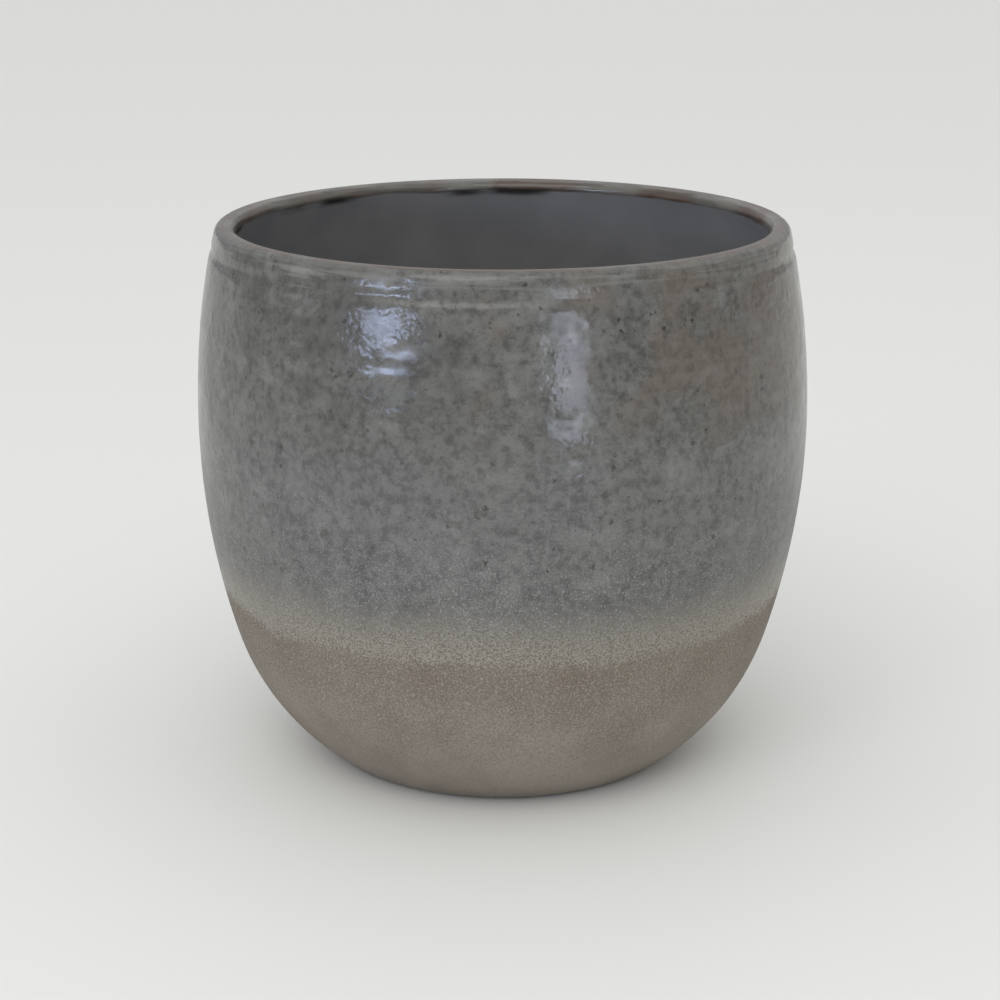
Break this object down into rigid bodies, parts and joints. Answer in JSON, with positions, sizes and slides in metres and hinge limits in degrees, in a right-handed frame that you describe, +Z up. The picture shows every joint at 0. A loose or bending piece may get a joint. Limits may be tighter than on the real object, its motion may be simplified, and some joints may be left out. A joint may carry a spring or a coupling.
{
  "type": "self-watering planter",
  "caption": "Round-bellied glazed stoneware pot on a foot ring, holding a lift-out watering insert with a reservoir, wicks, filler tube with hinged lid and float level gauge.",
  "frame": {"origin": "on the floor under the pot's centre, at the undersides of the foot pads", "axes": "+Z up along the pot's axis, -Y towards the front, where the filler and the gauge stand"},
  "size_m": [0.2, 0.2, 0.178],
  "materials": {
    "glazed_stoneware": "semi-gloss speckled grey glaze over matt tan clay",
    "pad_rubber": "matt black",
    "plug_rubber": "brick-red moulded rubber",
    "platform_plastic": "fine moulded texture",
    "seal_rubber": "soft dark grey",
    "leg_plastic": "fine moulded texture",
    "cup_plastic": "fine moulded texture, dark green",
    "wick_fibre": "compressed natural fibre",
    "fleece": "needled non-woven, charcoal",
    "tube_plastic": "extruded, satin",
    "collar_rubber": "matt black",
    "head_plastic": "satin charcoal",
    "lid_plastic": "slate blue",
    "clear_window": "clear moulded",
    "float_plastic": "off-white",
    "steel": "drawn wire",
    "marker_plastic": "signal red",
    "bush_plastic": "natural acetal"
  },
  "bodies": {
    "pot": {"pot": "glazed_stoneware", "foot_pad_1": "pad_rubber", "foot_pad_2": "pad_rubber", "foot_pad_3": "pad_rubber", "foot_pad_4": "pad_rubber"},
    "plug": {"drain_plug": "plug_rubber"},
    "insert": {"platform": "platform_plastic", "edge_seal": "seal_rubber", "leg_1": "leg_plastic", "leg_2": "leg_plastic", "leg_3": "leg_plastic", "leg_4": "leg_plastic", "wick_cup_1": "cup_plastic", "wick_cup_2": "cup_plastic", "wick_cup_3": "cup_plastic", "wick_1": "wick_fibre", "wick_2": "wick_fibre", "wick_3": "wick_fibre", "fleece": "fleece", "fill_tube": "tube_plastic", "gauge_tube": "tube_plastic", "fill_collar": "collar_rubber", "gauge_collar": "collar_rubber", "column_head": "head_plastic", "hinge_pin": "steel", "float_chamber": "cup_plastic", "chamber_cap": "cup_plastic", "guide_bush": "bush_plastic", "gauge_window": "clear_window", "window_ring": "head_plastic"},
    "lid": {"fill_lid": "lid_plastic"},
    "float": {"float": "float_plastic", "float_rod": "steel", "level_marker": "marker_plastic"}
  },
  "joints": [
    {"name": "insert_lift", "type": "slide", "parent": "pot", "child": "insert", "axis": [0, 0, 1], "range_m": [0, 0.18]},
    {"name": "fill_lid_hinge", "type": "hinge", "parent": "insert", "child": "lid", "pos_m": [0, -0.07838, 0.14265], "axis": [1, 0, 0], "range_deg": [0, 95]},
    {"name": "float_rise", "type": "slide", "parent": "insert", "child": "float", "axis": [0, 0, 1], "range_m": [0, 0.015]},
    {"name": "plug_pull", "type": "slide", "parent": "pot", "child": "plug", "axis": [0, 0, 1], "range_m": [0, 0.016]}
  ]
}
